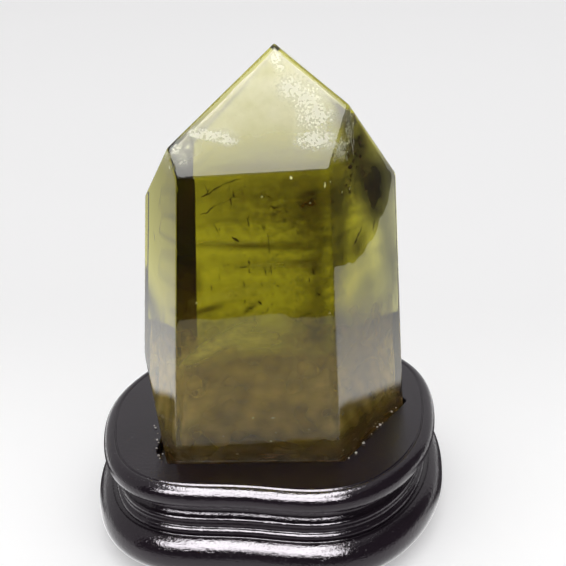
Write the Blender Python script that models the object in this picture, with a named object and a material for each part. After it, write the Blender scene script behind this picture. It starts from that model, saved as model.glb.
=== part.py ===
"""Citrine crystal point seated in a lacquered wooden display stand.

Metres, +Z up.  The origin is the middle of the stand's underside, -Y is the
front, and the crystal stands in a shallow socket cut in the stand's top.
"""
from math import cos, pi, radians, sin, tan

import bmesh
import bpy
from mathutils import Vector

# ---- stand: plan, a hand-shaped rounded square ----------------------------
STAND_HEIGHT = 0.0305
# Distance from the stand's axis to the top roll's outside, every 22.5 degrees
# of azimuth, from the front towards +X.
PLAN_REACH = (
    0.0506, 0.0552, 0.0549, 0.0520, 0.0510, 0.0540, 0.0572, 0.0554,
    0.0522, 0.0532, 0.0540, 0.0530, 0.0530, 0.0545, 0.0578, 0.0537,
)
PLAN_POINTS = 72

# ---- stand: moulding, offsets from the plan outline -----------------------
GROOVE_WIDTH = 0.0008
GROOVE_DEPTH = 0.0004
TOP_ROLL_RADIUS = 0.0034
WAIST_TOP_DROP = 0.0082     # the hollow between the top roll and the beads
WAIST_FOOT_DROP = 0.0102
WAIST_INSET = 0.0053
BEADS = (                   # drop below the top, radius, inset of the centre
    (0.0121, 0.0011, 0.0047),
    (0.0157, 0.0015, 0.0043),
)
BASE_ROLL_RADIUS = 0.0067
BASE_ROLL_OVERHANG = 0.0028
BASE_ROLL_DROP = 0.0224
FOOT_INSET = 0.0060
FOOT_HEIGHT = 0.0012

# ---- crystal --------------------------------------------------------------
SOCKET_DEPTH = 0.0040
SEAT_GAP = 0.0003
BLANK_SIZE = 0.40           # block the crystal's faces are cut from

# Prism faces: azimuth from the front (degrees, towards +X), lean inwards
# (degrees), distance from the stand's axis at the level of the stand's top,
# and the clearance the socket leaves in front of the face.
PRISM_FACES = {
    "front": (2.79, 3.03, 0.03283, 0.0004),
    "right": (63.04, 2.76, 0.03416, 0.0010),
    "back_right": (122.77, 1.03, 0.03770, 0.0010),
    "back": (182.80, 2.00, 0.01700, 0.0010),
    "back_left": (-117.24, 2.93, 0.02888, 0.0015),
    "left": (-57.71, 4.24, 0.04018, 0.0026),
}
# Tip faces: azimuth, angle of the face's normal above level (degrees), and
# the height above the stand's top where the face meets the stand's axis.
TIP_FACES = {
    "tip_front": (1.01, 37.27, 0.12306),
    "tip_back_right": (119.61, 40.62, 0.11831),
    "tip_back_left": (-112.86, 37.60, 0.10967),
}
# The corner broken off low on the left: three points of the break's plane,
# with heights above the stand's top.
BREAK_POINTS = (
    (-0.03730, -0.01283, 0.02423),
    (-0.03006, -0.02813, -0.00344),
    (-0.03050, 0.00250, -0.00400),
)
# The socket is cut straight across beside the broken corner: azimuth, distance.
SOCKET_CORNER = (-91.0, 0.0322)
# Chips on the edges: the two faces that meet in the edge, height above the
# stand's top, radius of the chip.
UPRIGHT_CHIPS = (
    ("right", "tip_front", 0.0910, 0.0016),
    ("right", "tip_front", 0.0888, 0.0011),
    ("right", "tip_back_right", 0.0985, 0.0010),
    ("right", "back_right", 0.0178, 0.0009),
    ("front", "left", 0.0110, 0.0007),
    ("left", "tip_front", 0.0885, 0.0008),
)
BASE_CHIPS = (              # share of the right face's foot, radius
    (0.21, 0.0012),
    (0.32, 0.0009),
    (0.69, 0.0011),
    (0.86, 0.0009),
)
CHIP_BITE = 0.35            # part of the radius that a chip's centre stands off


def clear_scene():
    """Remove every object, so the script starts from nothing."""
    for item in list(bpy.data.objects):
        bpy.data.objects.remove(item, do_unlink=True)


def new_collection(name):
    """Return a new collection linked to the scene."""
    collection = bpy.data.collections.new(name)
    bpy.context.scene.collection.children.link(collection)
    return collection


def principled(name, color, roughness, **inputs):
    """Return a Principled BSDF material."""
    material = bpy.data.materials.new(name)
    material.use_nodes = True
    shader = material.node_tree.nodes["Principled BSDF"]
    shader.inputs["Base Color"].default_value = (*color, 1.0)
    shader.inputs["Roughness"].default_value = roughness
    shader.inputs["Metallic"].default_value = 0.0
    for socket, value in inputs.items():
        shader.inputs[socket.replace("_", " ")].default_value = value
    return material


def object_from_bmesh(name, bm, collection, material=None):
    """Turn a bmesh into a linked object with faces pointing outwards."""
    bmesh.ops.recalc_face_normals(bm, faces=bm.faces)
    mesh = bpy.data.meshes.new(name)
    bm.to_mesh(mesh)
    bm.free()
    item = bpy.data.objects.new(name, mesh)
    collection.objects.link(item)
    if material:
        mesh.materials.append(material)
    return item


# ---- stand ----------------------------------------------------------------
def plan_reach(azimuth):
    """Smooth closed curve through the plan's reaches, by trigonometric interpolation."""
    count = len(PLAN_REACH)
    total = 0.0
    for index, reach in enumerate(PLAN_REACH):
        turn = azimuth - 2.0 * pi * index / count
        if abs(sin(turn / 2)) < 1e-9:
            return reach
        total += reach * sin(count * turn / 2) / (count * tan(turn / 2))
    return total


def plan_point(azimuth):
    """Point of the plan at an azimuth, relative to the stand's axis."""
    reach = plan_reach(azimuth)
    return Vector((reach * sin(azimuth), -reach * cos(azimuth), 0.0))


def plan_outline():
    """Points and outward normals of the plan, relative to the stand's axis."""
    step = 2.0 * pi / PLAN_POINTS
    outline = []
    for index in range(PLAN_POINTS):
        azimuth = index * step
        along = (plan_point(azimuth + step / 8) - plan_point(azimuth - step / 8)).normalized()
        outline.append((plan_point(azimuth), Vector((along.y, -along.x, 0.0))))
    return outline


def axis_place():
    """Place of the stand's axis that puts the middle of the stand's sides on the origin."""
    points = [point for point, _ in plan_outline()]
    middle_x = (min(p.x for p in points) + max(p.x for p in points)) / 2
    middle_y = (min(p.y for p in points) + max(p.y for p in points)) / 2
    return Vector((-middle_x, -middle_y, 0.0))


def arc(offset, height, radius, start, end, steps):
    """Points of a moulding arc, angles in degrees above level outwards."""
    points = []
    for index in range(steps + 1):
        angle = radians(start + (end - start) * index / steps)
        points.append((offset + radius * cos(angle), height + radius * sin(angle)))
    return points


def moulding_profile():
    """(offset from the plan, height) pairs, from the top field to the foot."""
    groove_inner = -TOP_ROLL_RADIUS - GROOVE_WIDTH
    profile = [
        (groove_inner, STAND_HEIGHT),
        (groove_inner + GROOVE_WIDTH / 2, STAND_HEIGHT - GROOVE_DEPTH),
    ]
    profile += arc(-TOP_ROLL_RADIUS, STAND_HEIGHT - TOP_ROLL_RADIUS, TOP_ROLL_RADIUS, 88, -66, 10)
    profile.append((-WAIST_INSET, STAND_HEIGHT - WAIST_TOP_DROP))
    profile.append((-WAIST_INSET, STAND_HEIGHT - WAIST_FOOT_DROP))
    for drop, radius, inset in BEADS:
        profile += arc(-inset, STAND_HEIGHT - drop, radius, 74, -52, 4)
    base_centre = BASE_ROLL_OVERHANG - BASE_ROLL_RADIUS
    profile += arc(base_centre, STAND_HEIGHT - BASE_ROLL_DROP, BASE_ROLL_RADIUS, 70, -74, 11)
    profile.append((-FOOT_INSET, FOOT_HEIGHT))
    profile.append((-FOOT_INSET, 0.0))
    return profile


def build_stand_body(collection, material):
    """Carry the moulding profile round the plan and close it top and foot."""
    bm = bmesh.new()
    outline = plan_outline()
    rings = []
    for offset, height in moulding_profile():
        lift = AXIS + Vector((0, 0, height))
        rings.append([bm.verts.new(point + normal * offset + lift) for point, normal in outline])
    for upper, lower in zip(rings, rings[1:]):
        for index in range(PLAN_POINTS):
            following = (index + 1) % PLAN_POINTS
            bm.faces.new((upper[index], lower[index], lower[following], upper[following]))
    bm.faces.new(rings[0])
    bm.faces.new(reversed(rings[-1]))
    stand = object_from_bmesh("display_stand", bm, collection, material)
    stand.data.shade_smooth()
    stand.data.set_sharp_from_angle(angle=radians(40))
    return stand


AXIS = axis_place()
TOP = AXIS + Vector((0.0, 0.0, STAND_HEIGHT))   # where the stand's axis leaves its top


# ---- crystal --------------------------------------------------------------
def level_way(azimuth):
    """Level unit vector at an azimuth from the front, in degrees."""
    return Vector((sin(radians(azimuth)), -cos(radians(azimuth)), 0.0))


def prism_plane(face, clearance=0.0):
    """Point and outward normal of a prism face, moved out by a clearance."""
    azimuth, lean, distance, _ = PRISM_FACES[face]
    level = level_way(azimuth)
    normal = level * cos(radians(lean)) + Vector((0, 0, sin(radians(lean))))
    return TOP + level * distance + normal * clearance, normal


def tip_plane(face):
    """Point and outward normal of a tip face."""
    azimuth, rise, height = TIP_FACES[face]
    normal = level_way(azimuth) * cos(radians(rise)) + Vector((0, 0, sin(radians(rise))))
    return TOP + Vector((0, 0, height)), normal


def face_plane(face):
    """Plane of any named crystal face."""
    return prism_plane(face) if face in PRISM_FACES else tip_plane(face)


def level_plane(height):
    """Level plane at a height above the stand's top, facing up."""
    return TOP + Vector((0, 0, height)), Vector((0, 0, 1))


def break_plane():
    """Plane of the broken corner, facing away from the crystal."""
    a, b, c = (TOP + Vector(point) for point in BREAK_POINTS)
    normal = (b - a).cross(c - a).normalized()
    if normal.dot(TOP - a) > 0.0:
        normal = -normal
    return a, normal


def planes_meet(*planes):
    """Point where three planes meet, by Cramer's rule."""
    (p1, n1), (p2, n2), (p3, n3) = planes
    total = n2.cross(n3) * p1.dot(n1) + n3.cross(n1) * p2.dot(n2) + n1.cross(n2) * p3.dot(n3)
    return total / n1.dot(n2.cross(n3))


def cut_and_cap(bm, plane):
    """Cut away what lies outside a plane and close the cut with one face."""
    point, normal = plane
    everything = bm.verts[:] + bm.edges[:] + bm.faces[:]
    cut = bmesh.ops.bisect_plane(bm, geom=everything, plane_co=point, plane_no=normal, clear_outer=True)
    rim = [item for item in cut["geom_cut"] if isinstance(item, bmesh.types.BMEdge)]
    bmesh.ops.edgeloop_fill(bm, edges=rim)


def faceted_block(planes, floor, ceiling):
    """Cut a block down to a list of planes, between two heights."""
    bm = bmesh.new()
    bmesh.ops.create_cube(bm, size=BLANK_SIZE)
    for plane in planes:
        cut_and_cap(bm, plane)
    cut_and_cap(bm, (Vector((0, 0, floor)), Vector((0, 0, -1))))
    cut_and_cap(bm, (Vector((0, 0, ceiling)), Vector((0, 0, 1))))
    return bm


def build_crystal_body(collection, material):
    """Cut the point: six prism faces, three tip faces and the broken corner."""
    planes = [prism_plane(face) for face in PRISM_FACES]
    planes += [tip_plane(face) for face in TIP_FACES]
    planes.append(break_plane())
    floor = STAND_HEIGHT - SOCKET_DEPTH + SEAT_GAP
    bm = faceted_block(planes, floor, BLANK_SIZE)
    return object_from_bmesh("crystal_point", bm, collection, material)


def build_socket_cutter(collection):
    """The stand's socket: the prism's outline with its clearances, cut off at the broken corner."""
    planes = []
    for face, (_, _, _, clearance) in PRISM_FACES.items():
        planes.append(prism_plane(face, clearance))
    azimuth, distance = SOCKET_CORNER
    planes.append((TOP + level_way(azimuth) * distance, level_way(azimuth)))
    bm = faceted_block(planes, STAND_HEIGHT - SOCKET_DEPTH, STAND_HEIGHT + 2 * SOCKET_DEPTH)
    return object_from_bmesh("socket_cutter", bm, collection)


def chip_places():
    """Centre, radius and bite direction of each chip on an edge."""
    places = []
    for first, second, height, radius in UPRIGHT_CHIPS:
        on_edge = planes_meet(face_plane(first), face_plane(second), level_plane(height))
        outward = (face_plane(first)[1] + face_plane(second)[1]).normalized()
        places.append((on_edge, radius, outward))
    right = prism_plane("right")
    near = planes_meet(right, prism_plane("front"), level_plane(0.0))
    far = planes_meet(right, prism_plane("back_right"), level_plane(0.0))
    for share, radius in BASE_CHIPS:
        places.append((near.lerp(far, share), radius, right[1]))
    return places


def build_chip_cutter(collection):
    """Small faceted balls standing on the edges, which bite out the chips."""
    bm = bmesh.new()
    for centre, radius, outward in chip_places():
        ball = bmesh.ops.create_icosphere(bm, subdivisions=1, radius=radius)
        bmesh.ops.translate(bm, verts=ball["verts"], vec=centre + outward * radius * CHIP_BITE)
    return object_from_bmesh("chip_cutter", bm, collection)


def cut_with(item, cutter):
    """Subtract a cutter with an exact Boolean modifier and hide the cutter."""
    modifier = item.modifiers.new(cutter.name, "BOOLEAN")
    modifier.operation = "DIFFERENCE"
    modifier.solver = "EXACT"
    modifier.object = cutter
    cutter.hide_render = True
    cutter.display_type = "WIRE"


def main():
    """Build the stand and the crystal."""
    clear_scene()
    parts = new_collection("citrine_crystal_point")
    cutters = new_collection("cutters")
    lacquer = principled("black_lacquered_wood", (0.012, 0.008, 0.009), 0.16, Coat_Weight=0.6)
    citrine = principled("citrine", (0.62, 0.55, 0.16), 0.03, Transmission_Weight=1.0, IOR=1.544)
    stand = build_stand_body(parts, lacquer)
    cut_with(stand, build_socket_cutter(cutters))
    crystal = build_crystal_body(parts, citrine)
    cut_with(crystal, build_chip_cutter(cutters))


main()
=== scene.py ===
"""Looks of a citrine crystal point in its black-lacquered stand.

Everything is in metres, +Z up, -Y to the front.  The crystal and the stand
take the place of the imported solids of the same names, with the same sizes.
"""
import logging
from abc import ABC, abstractmethod
from dataclasses import dataclass, field
from enum import Enum
from itertools import combinations
from typing import Any, Union

import bmesh
import bpy
import numpy as np
from mathutils import Matrix


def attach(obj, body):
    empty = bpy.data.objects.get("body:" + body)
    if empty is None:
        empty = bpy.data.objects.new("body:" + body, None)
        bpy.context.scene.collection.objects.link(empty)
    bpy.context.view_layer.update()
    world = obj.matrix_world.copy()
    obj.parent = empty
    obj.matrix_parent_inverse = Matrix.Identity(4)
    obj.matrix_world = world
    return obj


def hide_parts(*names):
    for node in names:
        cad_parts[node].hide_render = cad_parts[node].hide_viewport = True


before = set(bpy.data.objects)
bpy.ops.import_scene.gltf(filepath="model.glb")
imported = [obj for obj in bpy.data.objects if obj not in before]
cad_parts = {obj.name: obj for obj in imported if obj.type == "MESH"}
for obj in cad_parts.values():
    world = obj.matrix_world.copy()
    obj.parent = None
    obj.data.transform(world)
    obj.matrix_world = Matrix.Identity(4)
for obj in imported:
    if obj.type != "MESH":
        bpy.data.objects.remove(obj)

LOG = logging.getLogger("citrine_point")
BODY = "root"
MM = 0.001
QUARTZ_INDEX = 1.544
OUTER_FLATS = 9

Array = np.ndarray
Number = Union[int, float]
Colour = tuple[float, float, float]


# ---------------------------------------------------------------------------
# shader maths
# ---------------------------------------------------------------------------
class Wire:
    """A shader socket that takes part in Python arithmetic; each operation adds a Math node."""

    def __init__(self, graph: "Graph", socket: bpy.types.NodeSocket) -> None:
        """Wrap an output socket of a graph."""
        self.graph = graph
        self.socket = socket

    def __add__(self, other: "Value") -> "Wire":
        """self + other."""
        return self.graph.math("ADD", self, other)

    def __radd__(self, other: "Value") -> "Wire":
        """other + self."""
        return self.graph.math("ADD", other, self)

    def __sub__(self, other: "Value") -> "Wire":
        """self - other."""
        return self.graph.math("SUBTRACT", self, other)

    def __rsub__(self, other: "Value") -> "Wire":
        """other - self."""
        return self.graph.math("SUBTRACT", other, self)

    def __mul__(self, other: "Value") -> "Wire":
        """self * other."""
        return self.graph.math("MULTIPLY", self, other)

    def __rmul__(self, other: "Value") -> "Wire":
        """other * self."""
        return self.graph.math("MULTIPLY", other, self)

    def __pow__(self, other: "Value") -> "Wire":
        """self ** other."""
        return self.graph.math("POWER", self, other)

    def ramp(self, low: float, high: float) -> "Wire":
        """Rise smoothly from 0 at low to 1 at high."""
        ends = {"Value": self, "From Min": low, "From Max": high}
        return self.graph.add("ShaderNodeMapRange", {"interpolation_type": "SMOOTHSTEP"}, ends)


Value = Union[Wire, Number]


class Graph:
    """The node tree of one material."""

    def __init__(self, name: str) -> None:
        """Start an empty node tree in a new material.

        Args:
            name: The material's name.
        """
        self.material = bpy.data.materials.new(name)
        self.material.use_nodes = True
        self.tree = self.material.node_tree
        self.tree.nodes.clear()

    def feed(self, socket: bpy.types.NodeSocket, value: Any) -> None:
        """Link a wire to an input socket, or set the socket to a plain value.

        Args:
            socket: The input socket.
            value: A wire, a number, a vector or a colour.
        """
        if isinstance(value, Wire):
            self.tree.links.new(value.socket, socket)
        elif isinstance(value, tuple) and len(value) == 3 and socket.type == "RGBA":
            socket.default_value = (*value, 1.0)
        else:
            socket.default_value = value

    def add(self, kind: str, settings: dict[str, Any], inputs: dict[Any, Any], output: Any = 0) -> Wire:
        """Add any node.

        Args:
            kind: The node's type.
            settings: Properties that are set first.
            inputs: Values or wires by socket name or number.
            output: Name or number of the output to return.

        Returns:
            The chosen output as a wire.
        """
        node = self.tree.nodes.new(kind)
        for name, value in settings.items():
            setattr(node, name, value)
        for name, value in inputs.items():
            self.feed(node.inputs[name], value)
        return Wire(self, node.outputs[output])

    def math(self, operation: str, first: Value, second: Value) -> Wire:
        """Add a Math node on two values."""
        return self.add("ShaderNodeMath", {"operation": operation}, {0: first, 1: second})

    def mix(self, share: Value, first: Any, second: Any) -> Wire:
        """Blend two colours by a share."""
        return self.add("ShaderNodeMix", {"data_type": "RGBA"}, {0: share, 6: first, 7: second}, 2)

    def place(self) -> Wire:
        """Object coordinates in metres."""
        return self.add("ShaderNodeTexCoord", {}, {}, "Object")

    def stretch(self, vector: Wire, scale: Colour, turn: Colour = (0.0, 0.0, 0.0)) -> Wire:
        """Turn and scale a vector with a Mapping node."""
        return self.add("ShaderNodeMapping", {}, {"Vector": vector, "Rotation": turn, "Scale": scale})

    def noise(self, vector: Wire, scale: float, detail: float = 2.0, rough: float = 0.5) -> Wire:
        """Fractal noise; scale is in lumps per metre of the vector."""
        inputs = {"Vector": vector, "Scale": scale, "Detail": detail, "Roughness": rough}
        return self.add("ShaderNodeTexNoise", {}, inputs, "Fac")

    def attribute(self, name: str) -> Wire:
        """Value of a mesh attribute that the piece carries."""
        return self.add("ShaderNodeAttribute", {"attribute_name": name}, {}, "Fac")

    def bump(self, height: Value, depth: float, strength: float = 1.0) -> Wire:
        """Bump normal from a height between 0 and 1 and a depth in metres."""
        return self.add("ShaderNodeBump", {}, {"Height": height, "Distance": depth, "Strength": strength})

    def surface(self, **inputs: Any) -> Wire:
        """Principled BSDF; underscores in the names stand for spaces."""
        named = {name.replace("_", " "): value for name, value in inputs.items()}
        return self.add("ShaderNodeBsdfPrincipled", {}, named)

    def finish(self, surface: Wire, volume: Union[Wire, None] = None) -> bpy.types.Material:
        """Wire the shaders to the output.

        Args:
            surface: Shader of the skin.
            volume: Shader of what is inside, if there is any.

        Returns:
            The finished material.
        """
        node = self.tree.nodes.new("ShaderNodeOutputMaterial")
        self.feed(node.inputs["Surface"], surface)
        if volume is not None:
            self.feed(node.inputs["Volume"], volume)
        return self.material


# ---------------------------------------------------------------------------
# finishes: scales are in lumps per metre, reliefs are depths in metres
# ---------------------------------------------------------------------------
class Finish(ABC):
    """What a piece is made of."""

    @abstractmethod
    def material(self) -> bpy.types.Material:
        """Build the material.

        Returns:
            The finished material.
        """


@dataclass(frozen=True)
class ClearCitrine(Finish):
    """Polished clear quartz, coloured by what it absorbs; broken places are frosted."""

    index: float = QUARTZ_INDEX
    skin: Colour = (0.985, 0.98, 0.95)
    tint: Colour = (0.692, 0.673, 0.019)
    density: float = 107.0
    polish: float = 0.012
    frost: float = 0.22
    wave_scale: float = 90.0
    grit_scale: float = 2600.0
    grit_share: float = 2.5
    relief: float = 0.00004

    def material(self) -> bpy.types.Material:
        """Build the material: height = waves (1 - broken) + share * grit * broken.

        Returns:
            The finished material.
        """
        graph = Graph("clear_citrine")
        place = graph.place()
        broken = graph.attribute("broken")
        waves = graph.noise(place, self.wave_scale, 1.0)
        grit = graph.noise(place, self.grit_scale, 3.0)
        height = waves * (1.0 - broken) + grit * broken * self.grit_share
        shader = graph.surface(
            Base_Color=self.skin,
            Roughness=self.polish + broken * self.frost,
            IOR=self.index,
            Transmission_Weight=1.0,
            Normal=graph.bump(height, self.relief),
        )
        inside = {"Color": self.tint, "Density": self.density}
        return graph.finish(shader, graph.add("ShaderNodeVolumeAbsorption", {}, inside))


@dataclass(frozen=True)
class BlackLacquer(Finish):
    """Glossy violet-black lacquer, brushed along the mouldings, grainy with orange peel and dust."""

    deep: Colour = (0.0085, 0.0060, 0.0090)
    brown: Colour = (0.0180, 0.0118, 0.0172)
    gloss: float = 0.045
    gloss_tint: Colour = (1.0, 0.94, 1.0)
    index: float = 1.5
    brush_lay: Colour = (330.0, 2600.0, 1.0)
    relief: float = 0.00008

    def material(self) -> bpy.types.Material:
        """Build the material: the relief is a sum of orange peel, brush marks, grit and dust.

        Returns:
            The finished material.
        """
        graph = Graph("black_lacquer")
        place = graph.place()
        along = graph.add("ShaderNodeUVMap", {"uv_map": "lay"}, {}, "UV")
        cloudy = graph.noise(place, 60.0, 3.0)
        peel = graph.noise(place, 900.0, 2.0)
        brushed = graph.noise(graph.stretch(along, self.brush_lay), 1.0, 3.0, 0.6)
        grit = graph.noise(place, 1700.0, 1.0)
        dust = graph.noise(place, 1900.0, 1.0).ramp(0.70, 0.76)
        height = peel * 0.8 + brushed * 0.6 + grit * 0.7 + dust * 0.25
        shader = graph.surface(
            Base_Color=graph.mix(cloudy, self.deep, self.brown),
            Roughness=self.gloss + peel * 0.03 + dust * 0.2,
            IOR=self.index,
            Specular_Tint=self.gloss_tint,
            Normal=graph.bump(height, self.relief),
        )
        return graph.finish(shader)


@dataclass(frozen=True)
class Veil(Finish):
    """Fine inclusions spread over a surface inside the crystal, thick where "fade" is high."""

    name: str
    colour: Colour
    second: Colour
    grain: Colour
    patchy: float
    rough: float = 0.8
    thickest: float = 0.985

    def material(self) -> bpy.types.Material:
        """Build the material: cover = fade * (2 noise) ^ patchy; half the light goes on through.

        Returns:
            The finished material.
        """
        graph = Graph(self.name)
        cloud = graph.noise(graph.stretch(graph.place(), self.grain), 1.0, 4.0, 0.6)
        hue = graph.noise(graph.place(), 120.0, 2.0).ramp(0.35, 0.65)
        cover = graph.attribute("fade") * (cloud * 2.0) ** self.patchy
        lit = graph.surface(
            Base_Color=graph.mix(hue, self.colour, self.second),
            Roughness=self.rough,
            Specular_IOR_Level=0.0,
        )
        glow = graph.add("ShaderNodeBsdfTranslucent", {}, {"Color": self.colour})
        grains = graph.add("ShaderNodeMixShader", {}, {0: 0.5, 1: lit, 2: glow})
        gaps = graph.add("ShaderNodeBsdfTransparent", {}, {})
        veil = {0: graph.math("MINIMUM", cover, self.thickest), 1: gaps, 2: grains}
        return graph.finish(graph.add("ShaderNodeMixShader", {}, veil))


@dataclass(frozen=True)
class GasFilm(Finish):
    """Bright mirror-like flake of a gas-filled crack."""

    colour: Colour = (0.97, 0.97, 0.93)
    sheen: float = 0.6
    relief: float = 0.0002

    def material(self) -> bpy.types.Material:
        """Build the material.

        Returns:
            The finished material.
        """
        graph = Graph("gas_film")
        crackle = graph.noise(graph.place(), 1400.0, 2.0)
        shader = graph.surface(
            Base_Color=self.colour,
            Metallic=self.sheen,
            Roughness=0.22 + crackle * 0.3,
            Alpha=graph.attribute("fade"),
            Normal=graph.bump(crackle, self.relief),
        )
        return graph.finish(shader)


@dataclass(frozen=True)
class Crumb(Finish):
    """Whitish broken quartz with a few dark spots; the pale colour partly paints the glints the crumbs
    catch.
    """

    colour: Colour = (0.80, 0.77, 0.76)
    dark: Colour = (0.16, 0.12, 0.07)

    def material(self) -> bpy.types.Material:
        """Build the material.

        Returns:
            The finished material.
        """
        graph = Graph("quartz_crumb")
        spots = graph.noise(graph.place(), 1400.0, 1.0).ramp(0.3, 0.6)
        # pale colour: broken quartz, partly painted glints
        mottled = graph.mix(spots, self.dark, self.colour)
        return graph.finish(graph.surface(Base_Color=mottled, Roughness=0.2, IOR=QUARTZ_INDEX))


@dataclass(frozen=True)
class SawnStone(Finish):
    """Rough brown underside, sawn and stained; its dark brown also paints the shade of the socket it sits
    in.
    """

    pale: Colour = (0.20, 0.125, 0.055)
    stain_and_shade: Colour = (0.055, 0.022, 0.014)
    relief: float = 0.0003

    def material(self) -> bpy.types.Material:
        """Build the material.

        Returns:
            The finished material.
        """
        graph = Graph("sawn_stone")
        place = graph.place()
        patches = graph.noise(place, 170.0, 4.0, 0.6).ramp(0.35, 0.62)
        grit = graph.noise(place, 2400.0, 2.0)
        shader = graph.surface(
            # dark brown patches: stains, darkened further as painted shade of the socket
            Base_Color=graph.mix(patches, self.pale, self.stain_and_shade),
            Roughness=0.7,
            Normal=graph.bump(grit, self.relief),
        )
        return graph.finish(shader)


@dataclass(frozen=True)
class PalePaper(Finish):
    """Matt white paper that glows a little, and more in front as painted light."""

    colour: Colour = (0.86, 0.86, 0.86)
    glow: float = 0.14
    front_glow: float = 0.19
    front_fades: tuple[float, float] = (-0.08, 0.16)
    relief: float = 0.00003

    def material(self) -> bpy.types.Material:
        """Build the material: glow = front glow * (1 - smooth rise of y) + glow; the front glow is painted
        light.

        Returns:
            The finished material.
        """
        graph = Graph("pale_paper")
        fibre = graph.noise(graph.place(), 900.0, 2.0)
        y = graph.add("ShaderNodeSeparateXYZ", {}, {"Vector": graph.place()}, "Y")
        # painted light: the paper glows more towards the front
        glow = (1.0 - y.ramp(*self.front_fades)) * self.front_glow + self.glow
        shader = graph.surface(
            Base_Color=self.colour,
            Roughness=0.75,
            Emission_Color=graph.mix(glow, (0.0, 0.0, 0.0), (1.0, 1.0, 1.0)),
            Emission_Strength=1.0,
            Normal=graph.bump(fibre, self.relief),
        )
        return graph.finish(shader)


@dataclass(frozen=True)
class LitPaper(Finish):
    """Paper as glossy and clear things show it, all painted light: glowing pools of light, dark near the
    stand as a painted shadow.

    Pools are (x, y, radius, strength); the shadow is a rectangle (west, east, south, north).
    """

    base: float = 0.85
    peak: float = 2.5
    pools: tuple[tuple[float, float, float, float], ...] = (
        # the last pool, of negative strength, is a painted shadow behind the stand
        (-0.10, 0.06, 0.16, 1.35), (0.12, 0.04, 0.09, 0.6), (-0.02, 0.10, 0.06, -0.7),
    )
    pools_rise: tuple[float, float] = (-0.16, 0.03)
    # painted shadow round the stand: a dark rectangle in the glow
    shadow: tuple[float, float, float, float] = (-0.121, 0.108, -0.005, 0.08)
    soft_sides: tuple[float, float] = (0.004, 0.01)
    shade: Colour = (0.03, 0.028, 0.03)

    def material(self) -> bpy.types.Material:
        """Build the material.

        Light = (base + sum of strength * exp(-(distance / radius)^2)) outside the shadow.

        Returns:
            The finished material.
        """
        graph = Graph("lit_paper")
        place = graph.place()
        x, y = (graph.add("ShaderNodeSeparateXYZ", {}, {"Vector": place}, axis) for axis in "XY")
        light = 0.0
        for east, north, radius, strength in self.pools:
            away = ((x - east) ** 2.0 + (y - north) ** 2.0) * (-1.0 / radius ** 2)
            light = graph.math("EXPONENT", away, 0.0) * strength + light
        share = (light * y.ramp(*self.pools_rise)) * (1.0 / self.peak)
        low = self.base / self.peak
        west, east, south, north = self.shadow
        aside, ahead = self.soft_sides
        inside = x.ramp(west - aside, west + aside) * (1.0 - x.ramp(east - aside, east + aside))
        inside = inside * y.ramp(south - ahead, south + ahead)
        inside = inside * (1.0 - y.ramp(north - ahead, north + ahead))
        lit = graph.mix(share, (low, low, low), (1.0 + low, 1.0 + low, 1.0 + low))
        shader = graph.surface(
            Base_Color=(0.0, 0.0, 0.0),
            Roughness=1.0,
            Specular_IOR_Level=0.0,
            Emission_Color=graph.mix(inside, lit, self.shade),
            Emission_Strength=self.peak,
        )
        return graph.finish(shader)


@dataclass(frozen=True)
class BlackCloth(Finish):
    """Matt black cloth of a studio flag."""

    colour: Colour = (0.06, 0.057, 0.06)

    def material(self) -> bpy.types.Material:
        """Build the material."""
        graph = Graph("black_cloth")
        return graph.finish(graph.surface(Base_Color=self.colour, Roughness=0.9))


# ---------------------------------------------------------------------------
# surfaces
# ---------------------------------------------------------------------------
def grid_quads(rows: int, columns: int, closed: bool) -> Array:
    """Quads of a grid of points: (r, c), (r, c+1), (r+1, c+1), (r+1, c).

    Args:
        rows: Rows of points.
        columns: Points in a row.
        closed: Whether a row's last point joins its first.

    Returns:
        Point numbers, (n, 4).
    """
    across = np.arange(columns - (0 if closed else 1))
    row, column = np.meshgrid(np.arange(rows - 1), across, indexing="ij")
    following = (column + 1) % columns
    corners = [row * columns + column, row * columns + following]
    corners += [(row + 1) * columns + following, (row + 1) * columns + column]
    return np.stack(corners, axis=-1).reshape(-1, 4)


def many_grids(count: int, rows: int, columns: int, closed: bool) -> Array:
    """Quads of several grids of the same kind, one after another.

    Args:
        count: How many grids.
        rows: Rows of points in each.
        columns: Points in a row.
        closed: Whether a row's last point joins its first.

    Returns:
        Point numbers, (n, 4).
    """
    first = rows * columns * np.arange(count)[:, None, None]
    return (grid_quads(rows, columns, closed) + first).reshape(-1, 4)


def lattice(points: Array, size: float, seed: int, waves: int = 18) -> Array:
    """Smooth lumps of a given size: the mean of many sine waves in fixed random directions.

    Args:
        points: Points, last axis x, y, z.
        size: Mean wavelength in metres.
        seed: Which set of directions.
        waves: How many waves.

    Returns:
        Values of about -1 to 1, one per point.
    """
    rng = np.random.default_rng(seed)
    directions = rng.normal(size=(waves, 3))
    directions /= np.linalg.norm(directions, axis=1, keepdims=True)
    pitch = 2.0 * np.pi / (size * rng.uniform(0.6, 1.6, waves))
    phase = rng.uniform(0.0, 2.0 * np.pi, waves)
    return np.sin(points @ (directions * pitch[:, None]).T + phase).sum(axis=-1) / np.sqrt(waves)


def smooth(value: Array, low: float, high: float) -> Array:
    """Rise from 0 at low to 1 at high: t * t * (3 - 2 t)."""
    share = np.clip((value - low) / (high - low), 0.0, 1.0)
    return share * share * (3.0 - 2.0 * share)


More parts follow.
